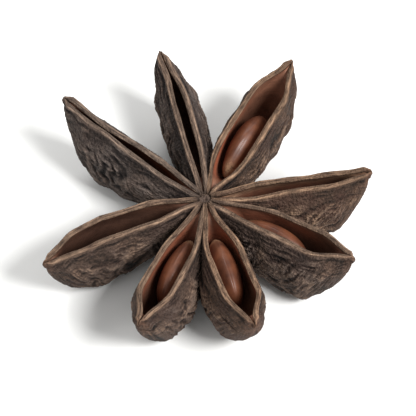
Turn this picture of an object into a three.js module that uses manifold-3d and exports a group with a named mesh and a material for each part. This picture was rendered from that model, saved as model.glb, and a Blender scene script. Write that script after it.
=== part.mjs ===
// A star anise pod: eight boat-shaped carpels stand round a short column, and each has split along
// its upper seam into two lips. A lens-shaped seed lies in the carpels that gape wide enough to
// show one. The pod lies open side up, on the bellies of its carpels.
// Millimetres, +Z up. The origin is on the column's axis, at the level of the surface below.

import * as THREE from 'three';
import { mergeVertices } from 'three/addons/utils/BufferGeometryUtils.js';
import Module from 'manifold-3d';

// The carpels, one by one. bearing is where a carpel points, counted from +X towards +Y. gape is
// half the width between its lips: it is reached at the place split, and beak is how much of the
// carpel stays shut at its tip. bow is its sideways bend, lean its roll towards its left side, lift
// the height of its belly over the floor, rise the height of its beak over the lips, and hook the
// sideways turn of the beak. Angles are in degrees.
const CARPELS = [
  { bearing: 4, length: 14.1, gape: 0.45, split: 0.3, beak: 0.04,
    bow: -0.15, lean: 5, lift: 0, rise: 0.2, hook: 0.1 },
  { bearing: 60, length: 14.5, gape: 1.22, split: 0.26, beak: 0.01,
    bow: 0.1, lean: -3, lift: 0.12, rise: 0.4, hook: -0.1 },
  { bearing: 104, length: 14.2, gape: 0.35, split: 0.35, beak: 0.1,
    bow: -0.3, lean: 4, lift: 0, rise: 0.3, hook: 0.2 },
  { bearing: 146, length: 14.9, gape: 0.32, split: 0.28, beak: 0.28,
    bow: 0.1, lean: -2, lift: 0.2, rise: 0.2, hook: -0.35 },
  { bearing: 208, length: 15.4, gape: 0.7, split: 0.3, beak: 0.01,
    bow: -0.6, lean: 2, lift: 0, rise: 0, hook: 0.2 },
  { bearing: 248, length: 14.6, gape: 1.1, split: 0.45, beak: 0.02,
    bow: 0.3, lean: -5, lift: 0, rise: 0.4, hook: 0.3 },
  { bearing: 287, length: 14.3, gape: 1.2, split: 0.45, beak: 0.01,
    bow: -0.4, lean: 4, lift: 0.15, rise: 0.1, hook: -0.3 },
  { bearing: 326, length: 14.4, gape: 1, split: 0.45, beak: 0.02,
    bow: 0.4, lean: 7, lift: 0, rise: 0.5, hook: 0.3 },
];
const SEEDED_GAPE = 1; // a carpel that gapes at least this much shows its seed

// Heights over the floor
const LIP_HEIGHT = 7.8; // at the beak
const LIP_HEIGHT_AT_COLUMN = 5.9;
const LIP_ARCH = 0.15; // how far the lips bulge up between the column and the beak
const LIP_WAVE = 0.14; // how far they wander up and down
const NECK_HEIGHT = 2.5; // the underside of a carpel at the column
const ROLL_HEIGHT = 4.5; // a carpel leans about this height
const FOOT_TRIM = 0.12; // a belly with no lift rests on the floor, flattened by this much

// Section of a carpel. Places along it run from 0 in the column to 1 at the tip of the beak.
const ROOT_RADIUS = 0.5; // a carpel starts this far from the axis
const BELLY_PLACE = 0.62;
const BELLY_HALF_WIDTH = 1.75; // on a carpel that stays shut
const BELLY_WIDENING = 0.5; // how much of the gape its belly follows
const NECK_HALF_WIDTH = 0.35;
const BEAK_HALF_WIDTH = 0.22;
const BEAK_DEPTH = 0.7;
const WIDEST_SHARE = 0.58; // the widest level, as a share of the depth
const WALL = 0.62;
const FLOOR_THICKNESS = 1.3;
const LIP_THICKNESS = 0.5;
const LIP_CROWN = 0.18;
const GAPE_LIMIT = 0.62; // the most that the gape may take of the half width
const SHUTTING = 0.25; // share of a carpel over which the lips close towards the beak
const GROOVE_HALF_WIDTH = 0.06; // what is left of the gape where the seam stays shut
const GROOVE_DEPTH = 0.3;

// Wrinkles over the outside
const WRINKLE_HEIGHT = 0.13;
const WRINKLE_LENGTH = 2.6;

// Column, and the scar of the stalk under it
const COLUMN_RADIUS = 1.75;
const COLUMN_TOP = 5;
const COLUMN_TIP_RADIUS = 0.6;
const COLUMN_TIP_TOP = 6.2;
const SCAR_RADIUS = 2.15;
const SCAR_HEIGHT = 2.05;
const SCAR_DISH = 0.22;
const SCAR_RING_RADIUS = 0.6;

// Seeds
const SEED_LENGTH = 6.2;
const SEED_DEPTH = 3.9;
const SEED_THICKNESS = 1.9;
const SEED_PLACE = 0.46;
const SEED_CLEARANCE = 0.9; // over the floor of the cavity
const SEED_TAPER = 0.16; // how much narrower the end towards the column is

// Fineness of the facets
const RINGS = 22;
const BEAK_CROWDING = 0.6; // how strongly the rings crowd towards the beak
const OUTSIDE_STEPS = 5;
const LIP_STEPS = 2;
const CAVITY_STEPS = 3;
const COLUMN_SIDES = 28;
const SEED_SIDES = 10;
const SEED_RINGS = 8;

const BELOW_FLOOR = 60; // side of the block that trims the feet

const podWood = new THREE.MeshStandardMaterial({ color: 0x54433b, roughness: 0.85, metalness: 0 });
const seedShell = new THREE.MeshStandardMaterial({ color: 0x6b3216, roughness: 0.25, metalness: 0 });

const wasm = await Module();
wasm.setup();

const radians = THREE.MathUtils.degToRad;
const mix = THREE.MathUtils.lerp;
const ease = THREE.MathUtils.smoothstep; // ease(value, from, to)

// The sizes of a carpel's section at a place along it, before it leans
function sectionSizes(carpel, place) {
  const before = Math.min(1, place / BELLY_PLACE);
  const beyond = Math.max(0, (place - BELLY_PLACE) / (1 - BELLY_PLACE));
  const lip = mix(LIP_HEIGHT_AT_COLUMN, LIP_HEIGHT, place)
    + LIP_ARCH * Math.sin(Math.PI * place) + carpel.rise * place ** 3;
  const prow = (1 - Math.sqrt(1 - beyond ** 2) + beyond ** 2.4) / 2;
  const keel = NECK_HEIGHT * (1 - Math.sin((Math.PI / 2) * before))
    + (LIP_HEIGHT + carpel.rise - BEAK_DEPTH) * prow;
  const belly = BELLY_HALF_WIDTH + BELLY_WIDENING * carpel.gape;
  const half = beyond > 0
    ? mix(BEAK_HALF_WIDTH, belly, (1 - beyond ** 2.2) ** 0.75)
    : mix(NECK_HALF_WIDTH, belly, Math.sin((Math.PI / 2) * before) ** 0.7);
  const shut = ease(1 - place, carpel.beak, carpel.beak + SHUTTING);
  const hollow = ease(place, 0.08, 0.3) * ease(1 - place, 0.05, 0.2);
  const open = mix(GROOVE_HALF_WIDTH, carpel.gape, ease(place, 0.02, carpel.split) * shut);
  const gape = Math.min(open, GAPE_LIMIT * half);
  return {
    lip,
    keel,
    half,
    gape,
    lipThickness: Math.min(LIP_THICKNESS, 0.8 * (half - gape)),
    cavityHalf: mix(gape, Math.max(gape, half - WALL), hollow),
    cavityDepth: mix(Math.min(GROOVE_DEPTH, (lip - keel) / 2), lip - keel - FLOOR_THICKNESS, hollow),
  };
}

// A point [sideways, height] on a boat-shaped outline, by the share of the way round from its keel
// to its rim: a quarter ellipse up to the widest level, then a flank that closes in to the rim
function outlinePoint(half, rimHalf, keel, depth, around) {
  const turn = Math.PI * Math.min(around, 0.5);
  const flank = Math.max(0, 2 * around - 1);
  const side = mix(half * Math.sin(turn) ** 0.9, rimHalf, flank ** 1.7);
  const rise = mix(WIDEST_SHARE * (1 - Math.cos(turn)), 1, flank);
  return [side, keel + depth * rise];
}

// How far a wrinkle lifts the outside. Wrinkles run aslant, and die out at the column and the lips.
function wrinkle(carpel, place, around) {
  const along = (place * carpel.length) / WRINKLE_LENGTH;
  const wave = Math.sin(2 * Math.PI * (along + 0.8 * around) + carpel.bearing);
  const swell = 0.6 + 0.4 * Math.sin(1.7 * along - 3 * around + carpel.length);
  return WRINKLE_HEIGHT * wave * swell * ease(place, 0.1, 0.3) * ease(1 - around, 0.05, 0.3);
}

// One side of a section: up the outside from the keel, over the lip and down to the cavity's floor
function halfSection(carpel, place) {
  const size = sectionSizes(carpel, place);
  const depth = size.lip - size.keel;
  const rim = size.gape + size.lipThickness;
  const points = [];
  for (let i = 0; i <= OUTSIDE_STEPS; i++) {
    const around = i / OUTSIDE_STEPS;
    const [side, height] = outlinePoint(size.half, rim, size.keel, depth, around);
    const away = new THREE.Vector2(side, height - size.keel - depth / 2);
    away.setLength(wrinkle(carpel, place, around));
    points.push([side + away.x, height + away.y]);
  }
  for (let i = 1; i < LIP_STEPS; i++) {
    const over = Math.PI * (i / LIP_STEPS);
    const middle = size.gape + size.lipThickness / 2;
    points.push([middle + (size.lipThickness / 2) * Math.cos(over), size.lip + LIP_CROWN * Math.sin(over)]);
  }
  for (let i = CAVITY_STEPS; i >= 0; i--) {
    const floor = size.lip - size.cavityDepth;
    points.push(outlinePoint(size.cavityHalf, size.gape, floor, size.cavityDepth, i / CAVITY_STEPS));
  }
  return points;
}

// The whole section, once round from the keel by the left side
function wholeSection(carpel, place) {
  const left = halfSection(carpel, place);
  const right = left.slice(1, -1).reverse().map(([side, height]) => [-side, height]);
  return [...left, ...right];
}

// Where a point of a carpel goes: the lips wander, the section leans about its middle, and the
// carpel bows, hooks and settles on its way out
function settle(carpel, place, side, height) {
  const upper = Math.max(0, height / LIP_HEIGHT) ** 3 * ease(place, 0.1, 0.3);
  const wandered = height + LIP_WAVE * upper * Math.sin(9 * place + Math.sign(side) + carpel.bearing);
  const lean = radians(carpel.lean) * ease(place, 0.05, 0.5);
  const over = wandered - ROLL_HEIGHT;
  const bend = 4 * carpel.bow * place * (1 - place) + carpel.hook * ease(place, 0.75, 1);
  const drop = carpel.drop * ease(place, 0.1, 0.45);
  return new THREE.Vector3(
    mix(ROOT_RADIUS, carpel.length, place),
    side * Math.cos(lean) + over * Math.sin(lean) + bend,
    ROLL_HEIGHT - side * Math.sin(lean) + over * Math.cos(lean) + drop,
  );
}

// A carpel as a closed skin of rings, with a fan over each end
function carpelGeometry(carpel) {
  const points = [];
  const faces = [];
  const sections = [];
  for (let ring = 0; ring < RINGS; ring++) {
    const step = ring / (RINGS - 1);
    const place = mix(step, Math.sin((Math.PI / 2) * step), BEAK_CROWDING);
    sections.push({ place, outline: wholeSection(carpel, place) });
  }
  const around = sections[0].outline.length;
  for (const { place, outline } of sections) {
    points.push(...outline.map(([side, height]) => settle(carpel, place, side, height)));
  }
  for (const { place, outline } of [sections[0], sections[RINGS - 1]]) {
    const { keel, lip, cavityDepth } = sectionSizes(carpel, place);
    points.push(settle(carpel, place, 0, (keel + lip - cavityDepth) / 2));
  }
  for (let j = 0; j < around; j++) {
    const next = (j + 1) % around;
    for (let ring = 0; ring < RINGS - 1; ring++) {
      const here = ring * around;
      const beyond = here + around;
      faces.push(here + j, here + next, beyond + next, here + j, beyond + next, beyond + j);
    }
    const last = (RINGS - 1) * around;
    faces.push(RINGS * around, next, j, RINGS * around + 1, last + j, last + next);
  }
  return new THREE.BufferGeometry().setFromPoints(points).setIndex(faces);
}

// The carpel with the drop that brings its belly to its height over the floor
function setDown(carpel) {
  const hanging = carpelGeometry({ ...carpel, drop: 0 });
  hanging.computeBoundingBox();
  const foot = carpel.lift > 0 ? carpel.lift : -FOOT_TRIM;
  return { ...carpel, drop: foot - hanging.boundingBox.min.z };
}

// Turned about the axis: the dished scar with its ring, the neck, and the dimpled knob on top
function columnGeometry() {
  const profile = [
    [0, SCAR_HEIGHT + 2 * SCAR_DISH],
    [SCAR_RING_RADIUS / 2, SCAR_HEIGHT + 1.5 * SCAR_DISH],
    [SCAR_RING_RADIUS, SCAR_HEIGHT + SCAR_DISH / 3],
    [1.6 * SCAR_RING_RADIUS, SCAR_HEIGHT + SCAR_DISH],
    [0.85 * SCAR_RADIUS, SCAR_HEIGHT],
    [SCAR_RADIUS, SCAR_HEIGHT + SCAR_DISH],
    [SCAR_RADIUS, SCAR_HEIGHT + 3 * SCAR_DISH],
    [COLUMN_RADIUS, (SCAR_HEIGHT + COLUMN_TOP) / 2],
    [COLUMN_RADIUS, COLUMN_TOP],
    [COLUMN_TIP_RADIUS, mix(COLUMN_TOP, COLUMN_TIP_TOP, 0.8)],
    [0.6 * COLUMN_TIP_RADIUS, COLUMN_TIP_TOP],
    [0, mix(COLUMN_TOP, COLUMN_TIP_TOP, 0.85)],
  ];
  const points = profile.map(([radius, height]) => new THREE.Vector2(radius, height));
  return new THREE.LatheGeometry(points, COLUMN_SIDES).rotateX(Math.PI / 2);
}

// An egg-shaped lens on edge, its narrow end towards the column
function seedGeometry(carpel) {
  const geometry = new THREE.SphereGeometry(1, SEED_SIDES, SEED_RINGS).rotateZ(-Math.PI / 2);
  const position = geometry.getAttribute('position');
  const { lip, cavityDepth } = sectionSizes(carpel, SEED_PLACE);
  const middle = lip - cavityDepth + SEED_CLEARANCE + SEED_DEPTH / 2;
  const reach = SEED_LENGTH / 2 / (carpel.length - ROOT_RADIUS);
  for (let i = 0; i < position.count; i++) {
    const along = position.getX(i);
    const width = 1 + SEED_TAPER * along;
    const placed = settle(
      carpel,
      SEED_PLACE + reach * along,
      (SEED_THICKNESS / 2) * width * position.getY(i),
      middle + (SEED_DEPTH / 2) * width * position.getZ(i),
    );
    position.setXYZ(i, placed.x, placed.y, placed.z);
  }
  return geometry;
}

// A closed geometry as a solid that can be joined or cut
function solidOf(geometry) {
  const bare = new THREE.BufferGeometry();
  bare.setAttribute('position', geometry.getAttribute('position'));
  bare.setIndex(geometry.index);
  const merged = mergeVertices(bare);
  return new wasm.Manifold(new wasm.Mesh({
    numProp: 3,
    vertProperties: merged.getAttribute('position').array,
    triVerts: new Uint32Array(merged.index.array),
  }));
}

function geometryOf(solid) {
  const { vertProperties, triVerts } = solid.getMesh();
  return new THREE.BufferGeometry()
    .setAttribute('position', new THREE.BufferAttribute(vertProperties, 3))
    .setIndex(new THREE.BufferAttribute(triVerts, 1));
}

function namedMesh(name, geometry, material) {
  geometry.computeVertexNormals();
  const mesh = new THREE.Mesh(geometry, material);
  mesh.name = name;
  return mesh;
}

const pod = new THREE.Group();
let wood = solidOf(columnGeometry());
for (const carpel of CARPELS.map(setDown)) {
  wood = wood.add(solidOf(carpelGeometry(carpel).rotateZ(radians(carpel.bearing))));
  if (carpel.gape >= SEEDED_GAPE) {
    const seed = namedMesh(`seed_${carpel.bearing}`, seedGeometry(carpel), seedShell);
    seed.rotation.z = radians(carpel.bearing);
    pod.add(seed);
  }
}
const belowFloor = new THREE.BoxGeometry(BELOW_FLOOR, BELOW_FLOOR, BELOW_FLOOR);
belowFloor.translate(0, 0, -BELOW_FLOOR / 2);
wood = wood.subtract(solidOf(belowFloor));
pod.add(namedMesh('pod', geometryOf(wood), podWood));

export default pod;
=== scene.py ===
"""A star anise pod, open side up on a pale floor.

Eight woody carpels stand round a short column, each split along its upper seam, and a glossy seed
lies in every carpel that gapes wide. The shapes are worked out in millimetres, in the frame of the
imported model, and laid down in metres. Along a carpel, place runs from 0 in the column to 1 at the
tip of the beak; across it, sideways points to its left as seen from the column.
"""

from __future__ import annotations

import logging
import math
from collections.abc import Mapping, Sequence
from dataclasses import dataclass, field
from enum import Enum

import bpy
import numpy as np
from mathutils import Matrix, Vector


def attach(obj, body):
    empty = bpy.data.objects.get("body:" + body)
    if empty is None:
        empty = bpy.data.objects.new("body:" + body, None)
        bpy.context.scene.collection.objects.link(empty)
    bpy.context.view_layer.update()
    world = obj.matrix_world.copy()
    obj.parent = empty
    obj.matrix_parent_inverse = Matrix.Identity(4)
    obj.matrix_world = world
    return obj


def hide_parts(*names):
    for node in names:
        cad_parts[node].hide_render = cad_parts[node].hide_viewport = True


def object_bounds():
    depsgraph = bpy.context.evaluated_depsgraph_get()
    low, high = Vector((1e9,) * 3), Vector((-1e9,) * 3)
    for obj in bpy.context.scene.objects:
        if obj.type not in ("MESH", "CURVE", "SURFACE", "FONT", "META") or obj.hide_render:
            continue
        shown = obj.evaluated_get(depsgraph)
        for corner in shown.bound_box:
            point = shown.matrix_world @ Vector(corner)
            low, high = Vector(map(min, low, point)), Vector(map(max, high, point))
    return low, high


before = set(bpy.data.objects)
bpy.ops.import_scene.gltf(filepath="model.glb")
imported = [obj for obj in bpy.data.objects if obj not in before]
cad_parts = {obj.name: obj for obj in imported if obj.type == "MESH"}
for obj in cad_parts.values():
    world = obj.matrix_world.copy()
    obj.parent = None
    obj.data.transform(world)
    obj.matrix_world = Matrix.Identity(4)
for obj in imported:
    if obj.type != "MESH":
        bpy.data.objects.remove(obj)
CAD_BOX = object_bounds()

METRES_PER_MM = 0.001
# The least length that a direction is divided by.
TINY = 1e-12
ROOT_BODY = "root"
POD_NODE = "pod"
LOG = logging.getLogger("star_anise")

Array = np.ndarray
Span = tuple[float, float]
# Low and high values of a number, and the values at the start and the end that they map onto.
Reach = tuple[float, float, float, float]
Colour = tuple[float, float, float, float]
# Colours for a number from 0 to 1, each after the value that it stands at, from low to high.
Tones = tuple[tuple[float, Colour], ...]
Socket = bpy.types.NodeSocket


class Slot(Enum):
    """Names of the material slots."""

    WOOD = "pod_wood"
    SHELL = "seed_shell"


class Field(Enum):
    """The values that a mesh carries at its points for its finish to read.

    They say how light the bark is, lighter on crests and darker in hollows, which is partly its worn
    colour and partly painted highlight and painted shade; how pale the lip; whether a point lies on an
    inner wall, and how far painted shade darkens it deep in the cavity; how far it belongs to the tip;
    the dark heel; the grey dusting, which on one carpel is partly painted shade; the rust-red band;
    and where it lies along and across the fibres.
    """

    RELIEF = "relief"
    RIM = "rim"
    INNER = "inner"
    CAVITY_SHADE = "deep"
    TIP = "tip"
    HEEL = "heel"
    GREYNESS = "greyness"
    RUST = "rust"
    GRAIN = "grain"


# --- Curves and noise ------------------------------------------------------------------------


def ease(value: Array | float, start: float, end: float) -> Array:
    """A soft step from 0 at start to 1 at end: three times the share squared less twice its cube."""
    share = np.clip((np.asarray(value) - start) / (end - start), 0.0, 1.0)
    return share * share * (3.0 - 2.0 * share)


def plateau(place: Array, rise: Span, fall: Span) -> Array:
    """A soft step up over the rise, times a soft step down over the fall, counted back from 1."""
    return ease(place, *rise) * ease(1.0 - place, *fall)


def mix(first: Array | float, second: Array | float, share: Array | float) -> Array:
    """The value that lies the given share of the way from first to second."""
    return first + (second - first) * share


def soft_least(first: Array, second: Array, rounding: float) -> Array:
    """The lesser of two values, with the corner where they cross rounded off."""
    # Half of their sum less the root of their squared difference and the squared rounding.
    least = (first + second - np.sqrt((first - second) ** 2 + rounding**2)) / 2.0
    return np.maximum(least, 0.1 * first)


def hump(value: Array, middle: float, width: Array | float) -> Array:
    """A bell, 1 at the middle: e to the power of minus the square of the widths away from it."""
    return np.exp(-(((value - middle) / width) ** 2))


@dataclass(frozen=True)
class Noise:
    """Seeded gradient noise over a plane, with features one unit wide.

    Attributes:
        seed: picks the directions on the lattice.
        lattice: after how many features the noise repeats.
        gain: brings the noise to about -1 to 1.
        crest_rounding: how far the crests of the ridges are rounded.
        crest_gain: how steeply the ridges fall.
    """

    seed: int
    lattice: int = 256
    gain: float = 1.5
    crest_rounding: float = 0.09
    crest_gain: float = 1.7

    def at(self, x: Array, y: Array) -> Array:
        """Blends the slopes at the four lattice corners round each point.

        Each corner of the unit lattice has a random direction. The value is the dot product of
        that direction with the way from the corner, eased between the four corners by the sum
        of 6, -15 and 10 times the fifth, fourth and third power.

        Args:
            x: first coordinate, in features.
            y: second coordinate, in features.

        Returns:
            The noise at each point.
        """
        x, y = np.broadcast_arrays(np.asarray(x, float), np.asarray(y, float))
        order = np.random.default_rng(self.seed).permutation(self.lattice)
        column, row = np.floor(x).astype(int), np.floor(y).astype(int)
        right, up = x - column, y - row
        ease_right = right**3 * (right * (right * 6 - 15) + 10)
        ease_up = up**3 * (up * (up * 6 - 15) + 10)

        def corner(step_x: int, step_y: int) -> Array:
            """The slope of one corner, read at each point.

            Args:
                step_x: 0 for the corner on the left, 1 for the one on the right.
                step_y: 0 for the lower corner, 1 for the upper one.

            Returns:
                The dot product of its direction with the way from it.
            """
            pick = order[(column + step_x) % self.lattice] + row + step_y
            turn = order[pick % self.lattice] * (2.0 * math.pi / self.lattice)
            return np.cos(turn) * (right - step_x) + np.sin(turn) * (up - step_y)

        low = mix(corner(0, 0), corner(1, 0), ease_right)
        high = mix(corner(0, 1), corner(1, 1), ease_right)
        return self.gain * mix(low, high, ease_up)

    def ridges(self, x: Array, y: Array) -> Array:
        """Narrow crests, -1 to 1: twice the size of the noise, rounded at 0, is taken from 1."""
        size = np.sqrt(self.at(x, y) ** 2 + self.crest_rounding**2) - self.crest_rounding
        return 1.0 - 2.0 * np.minimum(1.0, self.crest_gain * size)


# --- Meshes ----------------------------------------------------------------------------------


def link(name: str, data: bpy.types.ID) -> bpy.types.Object:
    """Puts a new object into the scene.

    Args:
        name: its name.
        data: its mesh, lamp or camera.

    Returns:
        The object, at the origin, unturned and unscaled.
    """
    thing = bpy.data.objects.new(name, data)
    bpy.context.scene.collection.objects.link(thing)
    return thing


@dataclass
class Skin:
    """A closed surface: rings of points, one after another, with a point closing each end.

    Attributes:
        rings: points in millimetres, as rings by points round a ring by three.
        start: the point that closes the first ring.
        end: the point that closes the last ring.
        fields: a value for every point of the rings, by what it stands for.
        grain: how far each point is along and across the fibres, in millimetres.
    """

    rings: Array
    start: Array
    end: Array
    fields: dict[Field, Array] = field(default_factory=dict)
    grain: Array | None = None

    def normals(self) -> Array:
        """Outward normals: the way round a ring, crossed with the way to the next ring.

        Returns:
            A unit vector for every point of the rings.
        """
        around = np.roll(self.rings, -1, axis=1) - np.roll(self.rings, 1, axis=1)
        onward = np.gradient(self.rings, axis=0)
        normal = np.cross(around, onward)
        length = np.linalg.norm(normal, axis=2, keepdims=True)
        return normal / np.maximum(length, TINY)

    def raise_by(self, height: Array) -> None:
        """Moves every point of the rings outwards by its height in millimetres."""
        self.rings = self.rings + self.normals() * height[:, :, None]

    def faces(self) -> tuple[Array, Array]:
        """The corners of the faces, as numbers of points.

        Returns:
            The four-sided faces between the rings, and the triangles of the fans over both ends.
        """
        count, around = self.rings.shape[:2]
        here = np.arange(count * around).reshape(count, around)
        beside = np.roll(here, -1, axis=1)
        quads = np.stack([here[:-1], beside[:-1], beside[1:], here[1:]], axis=-1).reshape(-1, 4)
        first, last = np.full(around, here.size), np.full(around, here.size + 1)
        fans = np.concatenate(
            [
                np.stack([first, beside[0], here[0]], axis=-1),
                np.stack([last, here[-1], beside[-1]], axis=-1),
            ]
        )
        return quads, fans

    def lay(self, name: str) -> bpy.types.Object:
        """Puts the surface into the scene as a smooth mesh in metres.

        Args:
            name: the piece's name.

        Returns:
            The new object, at the origin, unturned and unscaled.
        """
        quads, fans = self.faces()
        points = np.concatenate([self.rings.reshape(-1, 3), self.start[None], self.end[None]])
        mesh = bpy.data.meshes.new(name)
        mesh.vertices.add(len(points))
        mesh.vertices.foreach_set("co", (points * METRES_PER_MM).astype(np.float32).ravel())
        corners = np.concatenate([quads.ravel(), fans.ravel()]).astype(np.int32)
        mesh.loops.add(len(corners))
        mesh.loops.foreach_set("vertex_index", corners)
        sides = np.concatenate([np.full(len(quads), 4), np.full(len(fans), 3)])
        starts = np.concatenate([[0], np.cumsum(sides)[:-1]]).astype(np.int32)
        mesh.polygons.add(len(sides))
        mesh.polygons.foreach_set("loop_start", starts)
        mesh.polygons.foreach_set("use_smooth", np.ones(len(sides), dtype=bool))
        mesh.update(calc_edges=True)
        self._store_fields(mesh)
        mesh.validate()
        return link(name, mesh)

    def _store_fields(self, mesh: bpy.types.Mesh) -> None:
        """Writes the fields and the grain into the mesh, with each end like the ring beside it.

        Args:
            mesh: the mesh of this surface.
        """
        for kind, values in self.fields.items():
            whole = np.broadcast_to(values, self.rings.shape[:2])
            padded = np.concatenate([whole.ravel(), [whole[0].mean(), whole[-1].mean()]])
            store = mesh.attributes.new(kind.value, "FLOAT", "POINT")
            store.data.foreach_set("value", padded.astype(np.float32))
        if self.grain is not None:
            flat = self.grain.reshape(-1, 2)
            ends = np.stack([self.grain[0].mean(axis=0), self.grain[-1].mean(axis=0)])
            planar = np.concatenate([flat, ends])
            vectors = np.concatenate([planar, np.zeros((len(planar), 1))], axis=1)
            store = mesh.attributes.new(Field.GRAIN.value, "FLOAT_VECTOR", "POINT")
            store.data.foreach_set("vector", vectors.astype(np.float32).ravel())


def fit(piece: bpy.types.Object, node: str, finish: bpy.types.Material) -> None:
    """Makes a piece ride on the pod in place of a solid, and gives it its finish.

    Args:
        piece: the new piece.
        node: the solid that it stands for.
        finish: its material.
    """
    piece.data.materials.append(finish)
    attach(piece, ROOT_BODY)
    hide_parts(node)
    LOG.info("%s: %d faces, for %s", piece.name, len(piece.data.polygons), node)


# --- Finishes --------------------------------------------------------------------------------


def paint(red: int, green: int, blue: int) -> Colour:
    """A colour for a shader from display values of 0 to 255, by the display's own curve.

    Args:
        red: display red.
        green: display green.
        blue: display blue.

    Returns:
        Linear red, green and blue, and a full alpha.
    """
    share = np.array([red, green, blue]) / 255.0
    linear = np.where(share <= 0.04045, share / 12.92, ((share + 0.055) / 1.055) ** 2.4)
    return (float(linear[0]), float(linear[1]), float(linear[2]), 1.0)


WHOLE: Reach = (0.0, 1.0, 0.0, 1.0)
# The mix node has a float, a vector and a colour socket under each name, so these go by number.
MIX_FIRST, MIX_SECOND, MIX_RESULT = 6, 7, 2


@dataclass
class Palette:
    """Adds nodes to the tree of one finish, and joins them up."""

    material: bpy.types.Material

    def __post_init__(self) -> None:
        """Finds the tree and its shader."""
        self.material.use_nodes = True
        self.tree = self.material.node_tree
        self.shader = self.tree.nodes["Principled BSDF"]

    def fill(self, node: bpy.types.Node, inputs: Mapping[str | int, object]) -> None:
        """Joins inputs of a node to sockets, or sets them to values.

        Args:
            node: the node.
            inputs: the socket or value for each input, by its name or number.
        """
        for name, entry in inputs.items():
            if isinstance(entry, Socket):
                self.tree.links.new(entry, node.inputs[name])
            else:
                node.inputs[name].default_value = entry

    def add(
        self, kind: str, output: str | int, inputs: Mapping[str | int, object], **settings: str
    ) -> Socket:
        """A new node, set and filled.

        Args:
            kind: what Blender calls the node, after ShaderNode.
            output: the name or number of the output that is wanted.
            inputs: the socket or value for each input.
            settings: the node's own settings.

        Returns:
            The output.
        """
        node = self.tree.nodes.new(f"ShaderNode{kind}")
        for name, setting in settings.items():
            setattr(node, name, setting)
        self.fill(node, inputs)
        return node.outputs[output]

    def value(self, kind: Field) -> Socket:
        """A number that the mesh carries."""
        return self.add("Attribute", "Fac", {}, attribute_name=kind.value)

    def grain(self) -> Socket:
        """The place along and across the fibres that the mesh carries."""
        return self.add("Attribute", "Vector", {}, attribute_name=Field.GRAIN.value)

    def place(self) -> Socket:
        """The place on the object, in metres."""
        return self.add("TexCoord", "Object", {})

    def stretch(self, vector: Socket, along: float, across: float) -> Socket:
        """A vector scaled unevenly: by along in its first coordinate, by across in its second."""
        return self.add("Mapping", "Vector", {"Vector": vector, "Scale": (along, across, 1.0)})

    def noise(self, vector: Socket, scale: float, detail: float, roughness: float = 0.5) -> Socket:
        """Cloudy noise, 0 to 1, with scale features for each unit, refined detail times."""
        inputs = {"Vector": vector, "Scale": scale, "Detail": detail, "Roughness": roughness}
        return self.add("TexNoise", "Fac", inputs)

    def sum(self, first: Socket, second: Socket, share: float, offset: float = 0.0) -> Socket:
        """First, plus a share of second, plus an offset."""
        scaled = self.add("Math", 0, {0: second, 1: share, 2: offset}, operation="MULTIPLY_ADD")
        return self.add("Math", 0, {0: first, 1: scaled}, operation="ADD")

    def product(self, first: Socket, second: Socket) -> Socket:
        """First times second."""
        return self.add("Math", 0, {0: first, 1: second}, operation="MULTIPLY")

    def window(self, value: Socket, low: float, high: float, start: float, end: float) -> Socket:
        """Maps a number that runs from low to high onto start to end, and holds it there."""
        reach = {"From Min": low, "From Max": high, "To Min": start, "To Max": end}
        return self.add("MapRange", "Result", {"Value": value, **reach})

    def ramp(self, value: Socket, tones: Tones) -> Socket:
        """Colours a number.

        Args:
            value: the number, 0 to 1.
            tones: its colours.

        Returns:
            The socket of the colour.
        """
        colour = self.add("ValToRGB", "Color", {"Fac": value})
        elements = colour.node.color_ramp.elements
        while len(elements) < len(tones):
            elements.new(0.5)
        for element, (position, shade) in zip(elements, tones):
            element.position = position
            element.color = shade
        return colour

    def blend(self, share: Socket, first: Socket, second: Socket) -> Socket:
        """The colour that lies the given share of the way from first to second."""
        inputs = {"Factor": share, MIX_FIRST: first, MIX_SECOND: second}
        return self.add("Mix", MIX_RESULT, inputs, data_type="RGBA")

    def bump(self, height: Socket, distance: float, strength: float) -> None:
        """Gives the shader a fine bump, in which a height of 1 stands the distance tall."""
        inputs = {"Height": height, "Distance": distance, "Strength": strength}
        self.fill(self.shader, {"Normal": self.add("Bump", "Normal", inputs)})


@dataclass(frozen=True)
class Mottle:
    """The noises that break up a finish, 0 to 1.

    Attributes:
        cloud: slow clouds, a few to a carpel.
        speck: specks of about a quarter of a millimetre.
        fibre: fine fibres along the lips.
        pores: the pores of the bark.
    """

    cloud: Socket
    speck: Socket
    fibre: Socket
    pores: Socket


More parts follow.
